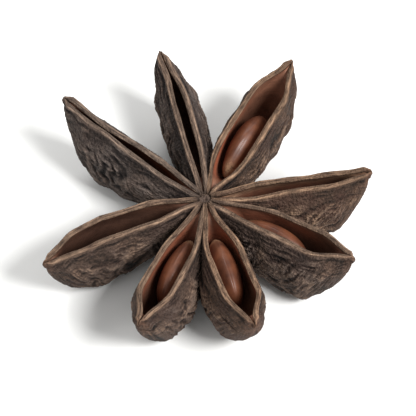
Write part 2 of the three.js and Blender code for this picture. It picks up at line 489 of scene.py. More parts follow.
@dataclass(frozen=True)
class PodWood:
    """Dry bark with tan crests and near-black crevices, tan lips and satin inner walls.

    The scales are features for each metre. The tones are read over the height of the bark or over a
    noise, and the reaches say how far a layer covers what it lies on. The tan of the crests is partly
    wear and partly painted highlight, the near-black of the crevices is painted shade, and the inner
    walls darken as painted shade deeper in the cavity.
    """

    # Bark tones by height: the crest tan is partly wear and partly painted highlight, the crevice
    # near-black is painted shade.
    crevice: Colour = paint(15, 11, 10)
    ridge: Colour = paint(84, 64, 52)
    brown: Tones = (
        (0.08, crevice), (0.42, paint(54, 41, 33)), (0.7, ridge), (0.95, paint(134, 108, 88))
    )
    stain: Tones = ((0.05, crevice), (0.5, paint(78, 49, 36)), (1.0, ridge))
    grey: Tones = ((0.08, crevice), (0.45, paint(45, 38, 35)), (0.95, paint(104, 92, 85)))
    heel: Tones = ((0.3, crevice), (0.75, paint(50, 38, 32)))
    # Inner wall tones as painted shade: the brow under the lips, the wall deeper, and the darkest
    # deepest down.
    brow: Tones = ((0.3, paint(96, 64, 50)), (0.7, paint(146, 102, 80)))
    wall: Tones = ((0.3, paint(78, 51, 40)), (0.7, paint(120, 82, 64)))
    painted_cavity_shade: Tones = ((0.3, paint(44, 31, 26)), (0.7, paint(74, 54, 45)))
    rust: Tones = ((0.35, paint(134, 73, 52)), (0.62, paint(188, 106, 76)))
    lip: Tones = ((0.36, paint(70, 51, 40)), (0.6, paint(164, 132, 106)))
    grey_lip: Tones = ((0.36, paint(45, 38, 35)), (0.6, paint(136, 120, 108)))
    tip: Tones = ((0.25, paint(70, 51, 40)), (0.6, paint(108, 79, 63)))
    cloud_scale: float = 420.0
    speck_scale: float = 3600.0
    pore_scale: float = 4600.0
    fibre_pitch: Span = (0.9, 7.0)
    stained: Reach = (0.45, 0.62, 0.0, 0.6)
    painted_shade_reach: Reach = (0.4, 1.7, 0.0, 0.75)
    greyed: Reach = (0.2, 0.9, 0.0, 0.7)
    unworn: Reach = (0.3, 0.55, 0.55, 1.0)
    roughness: Reach = (0.0, 1.0, 0.8, 0.45)
    wall_bump: Reach = (0.0, 1.0, 1.0, 0.12)
    bare_bump: Reach = (0.0, 1.0, 1.0, 0.35)
    gloss: float = 0.2
    bump_height: float = 0.00022
    bump_strength: float = 0.9

    def mottle(self, palette: Palette) -> Mottle:
        """The noises of this finish, all on the object but for the fibres, which follow the lips.

        Args:
            palette: the tree of the finish.

        Returns:
            Their sockets.
        """
        place = palette.place()
        fibres = palette.stretch(palette.grain(), *self.fibre_pitch)
        return Mottle(
            cloud=palette.noise(place, self.cloud_scale, 4.0, 0.6),
            speck=palette.noise(place, self.speck_scale, 2.0),
            fibre=palette.noise(fibres, 1.0, 4.0, 0.65),
            pores=palette.noise(place, self.pore_scale, 1.5),
        )

    def outside(self, palette: Palette, mottle: Mottle) -> Socket:
        """The bark: its height and the specks pick its brown or grey, from crevice to crest.

        Clouds of a redder stain lie on the brown, the greyness and the clouds choose between brown and
        grey, and the dark heel goes over both. The lighter crests are partly worn colour and partly
        painted highlight, and the darker crevices are painted shade; on one carpel the grey is partly
        painted shade too.

        Args:
            palette: the tree of the finish.
            mottle: its noises.

        Returns:
            The colour.
        """
        height = palette.sum(palette.value(Field.RELIEF), mottle.speck, 0.5, -0.25)
        brown, stain, grey = (
            palette.ramp(height, tones) for tones in (self.brown, self.stain, self.grey)
        )
        brown = palette.blend(palette.window(mottle.cloud, *self.stained), brown, stain)
        # Grey dusting, which on one carpel is partly painted shade.
        dust_and_shade = palette.sum(palette.value(Field.GREYNESS), mottle.cloud, 1.6, -0.8)
        colour = palette.blend(palette.window(dust_and_shade, *WHOLE), brown, grey)
        heel = palette.ramp(mottle.speck, self.heel)
        return palette.blend(palette.value(Field.HEEL), colour, heel)

    def inside(self, palette: Palette, mottle: Mottle) -> Socket:
        """The inner walls: paler under the lips and darker further down as painted shade, with the
        rust-red band.

        Args:
            palette: the tree of the finish.
            mottle: its noises.

        Returns:
            The colour.
        """
        sheen = palette.sum(mottle.cloud, mottle.fibre, 0.35, -0.17)
        brow, wall, painted_cavity_shade = (
            palette.ramp(sheen, tones) for tones in (self.brow, self.wall, self.painted_cavity_shade)
        )
        # Painted shade: the walls darken from the lips down into the cavity.
        deep = palette.value(Field.CAVITY_SHADE)
        colour = palette.blend(palette.window(deep, *WHOLE), brow, wall)
        colour = palette.blend(palette.window(deep, *self.painted_shade_reach), colour, painted_cavity_shade)
        rust = palette.ramp(mottle.fibre, self.rust)
        return palette.blend(palette.value(Field.RUST), colour, rust)

    def edges(self, palette: Palette, mottle: Mottle) -> Socket:
        """The lips: fibres from dark to pale, greyer where the bark is grey.

        Args:
            palette: the tree of the finish.
            mottle: its noises.

        Returns:
            The colour.
        """
        lip, grey_lip = (palette.ramp(mottle.fibre, tones) for tones in (self.lip, self.grey_lip))
        greyed = palette.window(palette.value(Field.GREYNESS), *self.greyed)
        return palette.blend(greyed, lip, grey_lip)

    def material(self) -> bpy.types.Material:
        """Builds the finish.

        The inner walls, the lips and the tip of the beak are laid over the bark in turn, each
        where the mesh says. The walls are smoother than the bark, and fibres and pores give the
        bark its bump, less of it on the lips and the heel.

        Returns:
            The material.
        """
        palette = Palette(bpy.data.materials.new("PodWood"))
        mottle = self.mottle(palette)
        inner = palette.value(Field.INNER)
        colour = palette.blend(inner, self.outside(palette, mottle), self.inside(palette, mottle))
        unworn = palette.window(mottle.cloud, *self.unworn)
        rim = palette.product(palette.value(Field.RIM), unworn)
        colour = palette.blend(rim, colour, self.edges(palette, mottle))
        tip = palette.ramp(mottle.speck, self.tip)
        colour = palette.blend(palette.value(Field.TIP), colour, tip)
        rough = palette.sum(palette.window(inner, *self.roughness), mottle.speck, 0.2, -0.1)
        shader = {"Base Color": colour, "Roughness": rough, "Specular IOR Level": self.gloss}
        palette.fill(palette.shader, shader)
        bare = palette.sum(rim, palette.value(Field.HEEL), 1.4)
        bare = palette.window(bare, *self.bare_bump)
        rough_bark = palette.product(palette.window(inner, *self.wall_bump), bare)
        ragged = palette.product(palette.sum(mottle.fibre, mottle.pores, 1.6), rough_bark)
        palette.bump(ragged, self.bump_height, self.bump_strength)
        return palette.material


@dataclass(frozen=True)
class SeedShell:
    """A hard, polished chestnut shell with a paler scar at the end towards the column."""

    shell: Tones = ((0.3, paint(66, 36, 24)), (0.75, paint(112, 66, 43)))
    scar: Tones = ((0.2, paint(66, 36, 24)), (0.55, paint(150, 116, 88)))
    cloud_scale: float = 700.0
    speck_scale: float = 5000.0
    dimple_scale: float = 2500.0
    roughness: Reach = (0.0, 1.0, 0.5, 0.7)
    gloss: float = 0.3
    coat: float = 0.08
    coat_roughness: float = 0.17
    bump_height: float = 0.00002
    bump_strength: float = 0.35

    def material(self) -> bpy.types.Material:
        """Builds the finish: a cloudy chestnut, blended into the scar where the mesh says.

        Returns:
            The material.
        """
        palette = Palette(bpy.data.materials.new("SeedShell"))
        place, scarred = palette.place(), palette.value(Field.HEEL)
        shell = palette.ramp(palette.noise(place, self.cloud_scale, 3.0), self.shell)
        scar = palette.ramp(palette.noise(place, self.speck_scale, 2.0), self.scar)
        shader = {
            "Base Color": palette.blend(scarred, shell, scar),
            "Roughness": palette.window(scarred, *self.roughness),
            "Specular IOR Level": self.gloss,
            "Coat Weight": self.coat,
            "Coat Roughness": self.coat_roughness,
        }
        palette.fill(palette.shader, shader)
        dimples = palette.noise(place, self.dimple_scale, 2.0)
        palette.bump(dimples, self.bump_height, self.bump_strength)
        return palette.material


@dataclass(frozen=True)
class PaleFloor:
    """A plain, matt, nearly white floor."""

    colour: Colour = paint(236, 236, 234)
    roughness: float = 0.9

    def material(self) -> bpy.types.Material:
        """Sets one even colour on the shader.

        Returns:
            The material.
        """
        palette = Palette(bpy.data.materials.new("PaleFloor"))
        palette.fill(palette.shader, {"Base Color": self.colour, "Roughness": self.roughness})
        return palette.material


# --- Carpels ---------------------------------------------------------------------------------


@dataclass(frozen=True)
class Build:
    """The sizes that all carpels share, in millimetres.

    Attributes:
        lip_height: height of the lips over the floor at the beak.
        lip_height_at_column: the same where a carpel meets the column.
        lip_arch: how far the lips bulge up between the column and the beak.
        lip_wave: how far the lips wander up and down.
        neck_height: height of a carpel's underside at the column.
        roll_height: a carpel leans about this height.
        foot_trim: how much of a resting belly the floor flattens.
        root_radius: distance from the axis at which a carpel starts.
        belly_place: where a carpel is widest and deepest.
        belly_half_width: half its width there, on a carpel that stays shut.
        belly_widening: how much of the gape the belly follows.
        neck_half_width: half its width at the column.
        beak_half_width: half its width at the beak.
        beak_depth: its depth at the beak.
        beak_reach: how far the rounded tip reaches beyond the last section.
        widest_share: height of the widest level, as a share of the depth.
        wall: thickness of the wall at the widest level.
        floor_thickness: thickness of the wall at the keel.
        lip_thickness: thickness of a lip.
        lip_crown: how far a lip is rounded.
        gape_limit: the most that the gape may take of the half width.
        gape_rounding: how softly it keeps to that.
        shutting: share of a carpel over which the lips close towards the beak.
        hollow_opens: the places between which the groove deepens into the cavity.
        hollow_closes: the same at the beak, counted back from the tip.
        elbow_at: the place at which the elbow of a lip juts out furthest.
        elbow_reach: how far it spreads to both sides, as a share of the carpel.
        groove_half_width: what is left of the gape where the seam stays shut.
        groove_depth: depth of the groove there.
        wrinkle_height: height of the broad wrinkles.
        wrinkle_length: distance from one broad wrinkle to the next.
        press_overlap: how far a flank reaches past the plane halfway to its neighbour.
        press_wall: what is left of the wall between that plane and the cavity.
    """

    lip_height: float = 7.8
    lip_height_at_column: float = 5.9
    lip_arch: float = 0.15
    lip_wave: float = 0.14
    neck_height: float = 2.5
    roll_height: float = 4.5
    foot_trim: float = 0.12
    root_radius: float = 0.5
    belly_place: float = 0.62
    belly_half_width: float = 1.75
    belly_widening: float = 0.5
    neck_half_width: float = 0.35
    beak_half_width: float = 0.22
    beak_depth: float = 0.7
    beak_reach: float = 0.35
    widest_share: float = 0.58
    wall: float = 0.62
    floor_thickness: float = 1.3
    lip_thickness: float = 0.5
    lip_crown: float = 0.18
    gape_limit: float = 0.62
    gape_rounding: float = 0.1
    shutting: float = 0.25
    hollow_opens: Span = (0.08, 0.3)
    hollow_closes: Span = (0.05, 0.2)
    elbow_at: float = 0.58
    elbow_reach: float = 0.34
    groove_half_width: float = 0.06
    groove_depth: float = 0.3
    wrinkle_height: float = 0.13
    wrinkle_length: float = 2.6
    press_overlap: float = 0.04
    press_wall: float = 0.28


@dataclass(frozen=True)
class Fineness:
    """How many points a carpel's skin has.

    Attributes:
        rings: rings from the column to the beak.
        beak_rings: rings that round off the tip.
        beak_crowding: how strongly the rings crowd towards the beak.
        outside: steps from the keel to the rim.
        lip: steps over a lip.
        cavity: steps from the rim to the floor of the cavity.
    """

    rings: int = 200
    beak_rings: int = 7
    beak_crowding: float = 0.6
    outside: int = 92
    lip: int = 12
    cavity: int = 32


@dataclass(frozen=True)
class Drift:
    """A layer of noise over a carpel.

    Attributes:
        layer: its number, which picks the noise.
        size: the size of its features, in millimetres.
        height: how strong it is.
    """

    layer: int
    size: float
    height: float = 1.0


@dataclass(frozen=True)
class Track:
    """Where the points of a carpel's skin lie, in millimetres along its surface.

    Attributes:
        seed: the carpel's own seed.
        place: share of the way from the column to the beak.
        along: distance from the axis along the carpel.
        across: distance round the section from the keel, positive on the left.
        past_rim: distance from the rim, negative on the outside.
    """

    seed: int
    place: Array
    along: Array
    across: Array
    past_rim: Array

    def noise(self, layer: int) -> Noise:
        """The noise of one layer of this carpel."""
        return Noise(self.seed + layer)

    def patches(self, drift: Drift) -> Array:
        """A drift read over the whole skin."""
        noise = self.noise(drift.layer)
        return drift.height * noise.at(self.along / drift.size, self.across / drift.size)

    def beside(self, drift: Drift) -> Array:
        """A drift read along each lip for itself, and the same all the way across it."""
        noise = self.noise(drift.layer)
        return drift.height * noise.at(self.along / drift.size, np.sign(self.across))


@dataclass(frozen=True)
class Crests:
    """Rows of crests in the bark.

    Attributes:
        height: their height, in millimetres.
        pitch: distance from one crest to the next.
        run: how far a crest runs before it fades.
        light: how much lighter they are than flat bark, from 0 to 1.
    """

    height: float
    pitch: float
    run: float
    light: float


@dataclass(frozen=True)
class Groove:
    """A long groove beside the rim.

    Attributes:
        depth: its depth, in millimetres.
        place: how far past the rim it runs, negative on the outside.
        width: its width.
        dark: how much darker it is than flat bark, from 0 to 1.
    """

    depth: float
    place: float
    width: float
    dark: float

    def cross(self, past_rim: Array) -> Array:
        """Its section, as a bell from 0 to 1."""
        return hump(past_rim, self.place, self.width)


@dataclass(frozen=True)
class Bark:
    """The fine relief of a carpel, in millimetres.

    Attributes:
        wrinkle: the wrinkles over the back and the flanks.
        slant: how far a wrinkle leans towards the beak for each millimetre from the keel.
        fine_pitch: distance between the finer crests that lie across the wrinkles.
        fine_run: how far a finer crest runs.
        streak: the streaks that run along the lips.
        streaks_apart: how many streaks lie between the noise of the two lips, halved.
        crease: the crease under a lip.
        seamline: the seam along a lip, between the bark and the inner shell.
        grit_height: height of the grain over the whole outside.
        dent_depth: depth of the slow dents.
        rag_height: height of the waves in a lip's edge.
        rag_length: length of these waves.
        heel_height: height of the bump at the inner end of the keel.
        heel_at: how far from the axis the bump is.
        edge_gap: distance from the seam to the pale edge on each side of it.
        band_place: how far past the rim the rust-red band runs on the inner walls.
        band_width: width of this band.
        flat_light: how light flat bark is, from 0 to 1.
        dent_light: how much lighter the rises between the dents are.
        grit_light: the same for the grain.
        heel_light: the same for the bump at the inner end of the keel.
        outside: distance past the rim, turned round, over which the bark's grain sets in.
        wrinkle_fade: the same for the wrinkles.
        streak_fade: the same for the end of the streaks.
        net: the places between which the wrinkles give way to a net of fine crests.
        net_most: how far they give way at most, as a share.
        bend: noise that bends the wrinkles.
        kink: finer noise that bends them too.
        swerve: noise that shifts where a crest ends.
        sway: noise in the slant.
        net_sway: noise in the place of the net.
        streak_bend: noise that bends the streaks.
        streak_kink: finer noise that bends them too.
        streak_swell: noise in the height of the streaks.
        grit: the grain.
        dents: the dents.
        crease_swell: noise in the depth of the crease.
        seam_swell: noise in the depth of the seam.
        edge_wear: noise in the paleness of the edges.
        band_wander: noise in the place of the rust-red band.
    """

    wrinkle: Crests = Crests(0.12, 0.82, 2.6, 0.46)
    slant: float = 0.85
    fine_pitch: float = 1.1
    fine_run: float = 0.8
    streak: Crests = Crests(0.055, 0.42, 3.2, 0.28)
    streaks_apart: float = 40.0
    crease: Groove = Groove(0.05, -0.3, 0.13, 0.3)
    seamline: Groove = Groove(0.06, 0.36, 0.09, 0.35)
    grit_height: float = 0.022
    dent_depth: float = 0.1
    rag_height: float = 0.06
    rag_length: float = 1.7
    heel_height: float = 0.22
    heel_at: float = 2.7
    edge_gap: float = 0.25
    band_place: float = 2.0
    band_width: float = 1.0
    flat_light: float = 0.45
    dent_light: float = 0.12
    grit_light: float = 0.12
    heel_light: float = 0.5
    outside: Span = (-0.1, 0.15)
    wrinkle_fade: Span = (0.6, 2.6)
    streak_fade: Span = (1.8, 3.8)
    net: Span = (0.62, 0.92)
    net_most: float = 0.75
    bend: Drift = Drift(1, 2.2, 0.6)
    kink: Drift = Drift(7, 0.9, 0.25)
    swerve: Drift = Drift(9, 1.7, 0.5)
    sway: Drift = Drift(16, 4.0, 0.35)
    net_sway: Drift = Drift(17, 3.0, 0.12)
    streak_bend: Drift = Drift(1, 2.6, 0.9)
    streak_kink: Drift = Drift(14, 1.1, 0.3)
    streak_swell: Drift = Drift(10, 1.9, 0.9)
    grit: Drift = Drift(8, 0.24)
    dents: Drift = Drift(5, 3.4)
    crease_swell: Drift = Drift(11, 1.3, 0.5)
    seam_swell: Drift = Drift(13, 2.1, 0.9)
    edge_wear: Drift = Drift(15, 1.6, 0.45)
    band_wander: Drift = Drift(12, 1.4, 0.35)

    def wrinkles(self, track: Track) -> Array:
        """Narrow crests that slant away from the keel, with finer ones across them.

        The place along the carpel, less the slant times the distance from the keel, counts the
        crests. Slow noise bends them, and a second, finer layer is turned against the first.

        Args:
            track: the points of the skin.

        Returns:
            The height as a share of the wrinkles' height, fading to 0 towards the rim.
        """
        bend = track.patches(self.bend) + track.patches(self.kink)
        swerve = track.patches(self.swerve)
        lag = self.slant * (1.0 + track.patches(self.sway)) * np.sqrt(track.across**2 + 1.0)
        phase = (track.along - lag) / self.wrinkle.pitch + bend
        main = track.noise(2).ridges(phase, track.across / self.wrinkle.run + swerve)
        fine_phase = track.along / self.fine_pitch + 1.5 * bend
        fine = track.noise(3).ridges(fine_phase, track.across / self.fine_run + swerve)
        fade = ease(-track.past_rim, *self.wrinkle_fade) * ease(track.place, 0.06, 0.2)
        fade = fade * mix(0.5, 1.0, ease(1.0 - track.place, 0.02, 0.3))
        netted = self.net_most * ease(track.place + track.patches(self.net_sway), *self.net)
        return mix(0.78 * main + 0.3 * fine, 0.8 * fine, netted) * fade

    def streaks(self, track: Track) -> Array:
        """Long crests beside the rim, counted by their distance from it and gently bent.

        Args:
            track: the points of the skin.

        Returns:
            The height as a share of the streaks' height, fading to 0 down the flank.
        """
        bend = track.patches(self.streak_bend) + track.patches(self.streak_kink)
        apart = self.streaks_apart * np.sign(track.across)
        crests = track.past_rim / self.streak.pitch + apart + bend
        crest = track.noise(4).ridges(track.along / self.streak.run, crests)
        swell = np.clip(0.6 + track.patches(self.streak_swell), 0.0, 1.4)
        below = -track.past_rim
        fade = ease(below, *self.outside) * (1.0 - ease(below, *self.streak_fade))
        return crest * swell * fade * ease(track.place, 0.03, 0.15)

    def seam(self, track: Track) -> Array:
        """The seam along the lips, as a narrow bell that fades at both ends.

        Args:
            track: the points of the skin.

        Returns:
            The depth as a share of the seam's depth.
        """
        ends = plateau(track.place, (0.08, 0.25), (0.03, 0.15))
        breaks = np.clip(0.6 + track.beside(self.seam_swell), 0.0, 1.0)
        return self.seamline.cross(track.past_rim) * ends * breaks

    def edges(self, track: Track, brim: float) -> Array:
        """The pale edges on both sides of the seam, as the highest of three bells from 0 to 1.

        Args:
            track: the points of the skin.
            brim: how much further the pale edge runs down the inner wall, in millimetres.

        Returns:
            How pale each point is.
        """
        narrow = mix(0.6, 1.0, ease(track.place, 0.05, 0.35))
        seam = self.seamline.place
        outer = hump(track.past_rim, seam - 0.6 * self.edge_gap, 0.17 * narrow)
        inner_place = seam + 0.8 * self.edge_gap + brim / 2.0
        inner = 0.85 * hump(track.past_rim, inner_place, (0.14 + 0.6 * brim) * narrow)
        between = 0.5 * hump(track.past_rim, seam, 0.24 * narrow)
        worn = np.clip(0.85 + track.beside(self.edge_wear), 0.0, 1.0)
        start = mix(0.35, 1.0, ease(track.place, 0.0, 0.05))
        return np.maximum(np.maximum(outer, inner), between) * worn * start

    def band(self, track: Track) -> Array:
        """The rust-red band high on the inner walls, as a bell that fades towards both ends.

        Args:
            track: the points of the skin.

        Returns:
            How red each point is, 0 to 1.
        """
        reach = plateau(track.place, (0.12, 0.26), (0.2, 0.4))
        beside = track.past_rim + track.beside(self.band_wander)
        return hump(beside, self.band_place, self.band_width) * reach

    def heel(self, track: Track) -> Array:
        """A bump on the keel close to the column, as a product of two bells from 0 to 1."""
        return hump(track.along, self.heel_at, 0.75) * hump(track.across, 0.0, 0.8)

    def relief(self, track: Track) -> tuple[Array, Array]:
        """Adds the layers up, each times its height for the relief and its light for the tone.

        Args:
            track: the points of the skin.

        Returns:
            How far each point is raised, in millimetres, and how light its bark is, 0 to 1: lighter on
            crests and darker in dents and the crease under a lip, partly worn colour and partly
            painted highlight and painted shade.
        """
        outside = ease(-track.past_rim, *self.outside)
        wrinkles, streaks = self.wrinkles(track), self.streaks(track)
        grit = track.patches(self.grit) * outside
        dents = track.patches(self.dents) * outside * ease(track.place, 0.1, 0.3)
        rag = track.noise(6).at(track.along / self.rag_length, 3.0 * np.sign(track.across) + 0.5)
        rag = rag * hump(track.past_rim, 0.3, 0.45) * ease(track.place, 0.12, 0.3)
        heel, seam = self.heel(track), self.seam(track)
        crease = self.crease.cross(track.past_rim) * (0.6 + track.patches(self.crease_swell))
        lift = self.wrinkle.height * wrinkles + self.streak.height * streaks
        lift = lift + self.grit_height * grit + self.dent_depth * dents
        lift = lift + self.rag_height * rag + self.heel_height * heel
        lift = lift - self.crease.depth * crease - self.seamline.depth * seam
        # Lighter on crests, darker in dents and the crease: partly worn colour, partly painted
        # highlight and painted shade.
        light = self.flat_light + self.wrinkle.light * wrinkles + self.streak.light * streaks
        light = light + self.dent_light * dents + self.grit_light * grit
        light = light + self.heel_light * heel
        light = light - self.crease.dark * crease - self.seamline.dark * seam
        return lift, np.clip(light, 0.0, 1.0)


@dataclass
class Section:
    """The sizes of a carpel's section at every place, one row for each place, before it leans."""

    lip: Array
    keel: Array
    half: Array
    gape: Array
    lip_thickness: Array
    cavity_half: Array
    cavity_depth: Array


@dataclass
class Carpel:
    """One boat-shaped carpel, split along its upper seam.

    Attributes:
        bearing: where it points, in degrees from +X towards +Y.
        length: distance from the axis to the tip of the beak, in millimetres.
        gape: half the width between its lips.
        split: the place at which its gape has opened fully.
        beak: how much of it stays shut at its tip.
        bow: its sideways bend.
        lean: its roll towards its left side, in degrees.
        lift: height of its belly over the floor.
        rise: height of its beak over the lips.
        hook: sideways turn of the beak.
        greyness: how grey and dusty its bark is, from 0 to 1; on one carpel it is set higher partly as
            painted shade.
        rust: how rust-red the upper part of its inner walls is, from 0 to 1; the less rust-red, the
            darker the painted shade in its cavity.
        brim: how much further than on the others its pale lips run down the inner walls.
        elbow: how far its right lip juts out at a blunt angle past its middle.
        build: the sizes that it shares with the others.
        bark: its fine relief.
        fineness: how many points its skin has.
        drop: how far it is lowered to bring its belly to its height.
        room_left: angle to the plane halfway to its neighbour on the left, in degrees.
        room_right: the same on the right.
    """

    bearing: float
    length: float
    gape: float
    split: float
    beak: float
    bow: float
    lean: float
    lift: float
    rise: float
    hook: float
    greyness: float
    rust: float
    brim: float
    elbow: float = 0.0
    build: Build = field(default_factory=Build)
    bark: Bark = field(default_factory=Bark)
    fineness: Fineness = field(default_factory=Fineness)
    drop: float = 0.0
    room_left: float = 30.0
    room_right: float = 30.0

    def section(self, place: Array) -> Section:
        """The sizes of the section.

        The lips rise evenly, with a sine for their arch and a cube for the beak. The keel falls
        from the neck along a sine, and climbs to the beak along the mean of a circle and a power
        of 2.4. The width grows to the belly along a power of a sine and closes to the beak along
        a power curve. The gape and the hollow open and close in soft steps.

        Args:
            place: places along the carpel, as a column.

        Returns:
            The sizes at each place.
        """
        build = self.build
        before = np.minimum(1.0, place / build.belly_place)
        beyond = np.maximum(0.0, (place - build.belly_place) / (1.0 - build.belly_place))
        lip = mix(build.lip_height_at_column, build.lip_height, place)
        lip = lip + build.lip_arch * np.sin(np.pi * place) + self.rise * place**3
        prow = (1.0 - np.sqrt(1.0 - beyond**2) + beyond**2.4) / 2.0
        keel = build.neck_height * (1.0 - np.sin(np.pi / 2.0 * before))
        keel = keel + (build.lip_height + self.rise - build.beak_depth) * prow
        belly = build.belly_half_width + build.belly_widening * self.gape
        closing = mix(build.beak_half_width, belly, (1.0 - beyond**2.2) ** 0.75)
        growing = mix(build.neck_half_width, belly, np.sin(np.pi / 2.0 * before) ** 0.7)
        half = np.where(beyond > 0.0, closing, growing)
        shut = ease(1.0 - place, self.beak, self.beak + build.shutting)
        hollow = plateau(place, build.hollow_opens, build.hollow_closes)
        opened = mix(build.groove_half_width, self.gape, ease(place, 0.02, self.split) * shut)
        gape = soft_least(opened, build.gape_limit * half, build.gape_rounding)
        groove = np.minimum(build.groove_depth, (lip - keel) / 2.0)
        return Section(
            lip=lip,
            keel=keel,
            half=half,
            gape=gape,
            lip_thickness=np.minimum(build.lip_thickness, 0.8 * (half - gape)),
            cavity_half=mix(gape, np.maximum(gape, half - build.wall), hollow),
            cavity_depth=mix(groove, lip - keel - build.floor_thickness, hollow),
        )

    def outline(self, half: Array, rim: Array, keel: Array, depth: Array, around: Array) -> Array:
        """A boat-shaped outline: a quarter ellipse to the widest level, then a closing flank.

        Args:
            half: half its greatest width.
            rim: half its width at the rim.
            keel: height of its lowest point.
            depth: height of the rim over the keel.
            around: share of the way from the keel to the rim, as a row.

        Returns:
            Sideways distance and height, stacked last.
        """
        turn = np.pi * np.minimum(around, 0.5)
        flank = np.maximum(0.0, 2.0 * around - 1.0)
        side = mix(half * np.sin(turn) ** 0.9, rim, flank**1.7)
        rise = mix(self.build.widest_share * (1.0 - np.cos(turn)), 1.0, flank)
        return np.stack(np.broadcast_arrays(side, keel + depth * rise), axis=-1)

    def broad_wrinkle(self, place: Array, around: Array) -> Array:
        """How far the broad wrinkles lift the outside: slanting sines of uneven height.

        Args:
            place: places along the carpel, as a column.
            around: shares of the way from the keel to the rim, as a row.

        Returns:
            The lift in millimetres.
        """
        along = place * self.length / self.build.wrinkle_length
        wave = np.sin(2.0 * np.pi * (along + 0.8 * around) + self.bearing)
        swell = 0.6 + 0.4 * np.sin(1.7 * along - 3.0 * around + self.length)
        fade = ease(place, 0.1, 0.3) * ease(1.0 - around, 0.05, 0.3)
        return self.build.wrinkle_height * wave * swell * fade

    def half_section(self, place: Array) -> Array:
        """One side of every section, up the outside, over the lip and down to the cavity's floor.

        Args:
            place: places along the carpel, as a column.

        Returns:
            Sideways distance and height of each point, as places by points by two.
        """
        size, fineness = self.section(place), self.fineness
        depth = size.lip - size.keel
        around = np.linspace(0.0, 1.0, fineness.outside + 1)[None]
        rim = size.gape + size.lip_thickness
        outside = self.outline(size.half, rim, size.keel, depth, around)
        middle = np.concatenate([np.zeros_like(depth), size.keel + depth / 2.0], axis=1)[:, None]
        away = outside - middle
        away = away / np.linalg.norm(away, axis=2, keepdims=True)
        outside = outside + away * self.broad_wrinkle(place, around)[:, :, None]
        over = np.pi * np.linspace(0.0, 1.0, fineness.lip + 1)[None, 1:-1]
        lip_side = size.gape + size.lip_thickness / 2.0 * (1.0 + np.cos(over))
        lip_rise = size.lip + self.build.lip_crown * np.sin(over)
        lip = np.stack(np.broadcast_arrays(lip_side, lip_rise), axis=-1)
        down = np.linspace(1.0, 0.0, fineness.cavity + 1)[None]
        floor = size.lip - size.cavity_depth
        cavity = self.outline(size.cavity_half, size.gape, floor, size.cavity_depth, down)
        return np.concatenate([outside, lip, cavity], axis=1)

    def settle(
        self, place: Array, side: Array, height: Array, inset: Array | float = 0.0
    ) -> Array:
        """Where a point goes once the lips wander and the carpel leans, bows, hooks and settles.

        Where it would pass the plane halfway to a neighbour, the flank is pressed flat there.

        Args:
            place: places along the carpel.
            side: sideways distances.
            height: heights over the floor.
            inset: how far inside the skin's outside a point stays where it is pressed.

        Returns:
            The points in the pod's frame, in millimetres.
        """
        build = self.build
        upper = np.maximum(0.0, height / build.lip_height) ** 3 * ease(place, 0.1, 0.3)
        wave = np.sin(9.0 * place + np.sign(side) + self.bearing)
        over = height + build.lip_wave * upper * wave - build.roll_height
        lean = math.radians(self.lean) * ease(place, 0.05, 0.5)
        bend = 4.0 * self.bow * place * (1.0 - place) + self.hook * ease(place, 0.75, 1.0)
        out = mix(build.root_radius, self.length, place)
        left = side * np.cos(lean) + over * np.sin(lean) + bend
        tent = np.maximum(0.0, 1.0 - np.abs(place - build.elbow_at) / build.elbow_reach) ** 1.3
        high = np.clip(height / build.lip_height, 0.0, 1.0) ** 3
        left = left - self.elbow * tent * (side < 0.0) * high
        up = build.roll_height - side * np.sin(lean) + over * np.cos(lean)
        up = up + self.drop * ease(place, 0.1, 0.45)
        overlap = build.press_overlap - inset
        left = np.minimum(left, out * math.tan(math.radians(self.room_left)) + overlap)
        left = np.maximum(left, -out * math.tan(math.radians(self.room_right)) - overlap)
        bearing = math.radians(self.bearing)
        east = out * math.cos(bearing) - left * math.sin(bearing)
        north = out * math.sin(bearing) + left * math.cos(bearing)
        return np.stack(np.broadcast_arrays(east, north, up), axis=-1)

    def places(self) -> Array:
        """The rings' places: even steps blended with a sine, so that they crowd to the beak."""
        step = np.linspace(0.0, 1.0, self.fineness.rings)
        return mix(step, np.sin(np.pi / 2.0 * step), self.fineness.beak_crowding)[:, None]

    def set_down(self) -> None:
        """Finds the drop that brings the belly to its height over the floor."""
        self.drop = 0.0
        place = self.places()
        half = self.half_section(place)
        lowest = min(
            self.settle(place, side * half[:, :, 0], half[:, :, 1])[:, :, 2].min()
            for side in (1.0, -1.0)
        )
        foot = self.lift if self.lift > 0.0 else -self.build.foot_trim
        self.drop = foot - lowest

    def skin(self) -> Skin:
        """The whole skin with its fine relief and its fields.

        Returns:
            The skin, with its lowest points flattened on the floor.
        """
        self.set_down()
        place = self.places()
        half = self.half_section(place)
        mirrored = half[:, -2:0:-1] * np.array([-1.0, 1.0])
        loop = np.concatenate([half, mirrored], axis=1)
        step = np.arange(half.shape[1])
        lip_end = self.fineness.outside + self.fineness.lip
        inset = self.build.press_wall * ease(step, self.fineness.outside, lip_end)
        inset = np.concatenate([inset, inset[-2:0:-1]])[None]
        rings = self.settle(place, loop[:, :, 0], loop[:, :, 1], inset)
        rings = self._round_beak(rings)
        caps = self.fineness.beak_rings
        place = np.concatenate([place, np.ones((caps, 1))])
        start, end = rings[0].mean(axis=0), rings[-1].mean(axis=0)
        skin = Skin(rings, start, end)
        self._add_bark(skin, self.track(rings, place, half.shape[1]))
        skin.rings[:, :, 2] = np.maximum(skin.rings[:, :, 2], 0.0)
        return skin

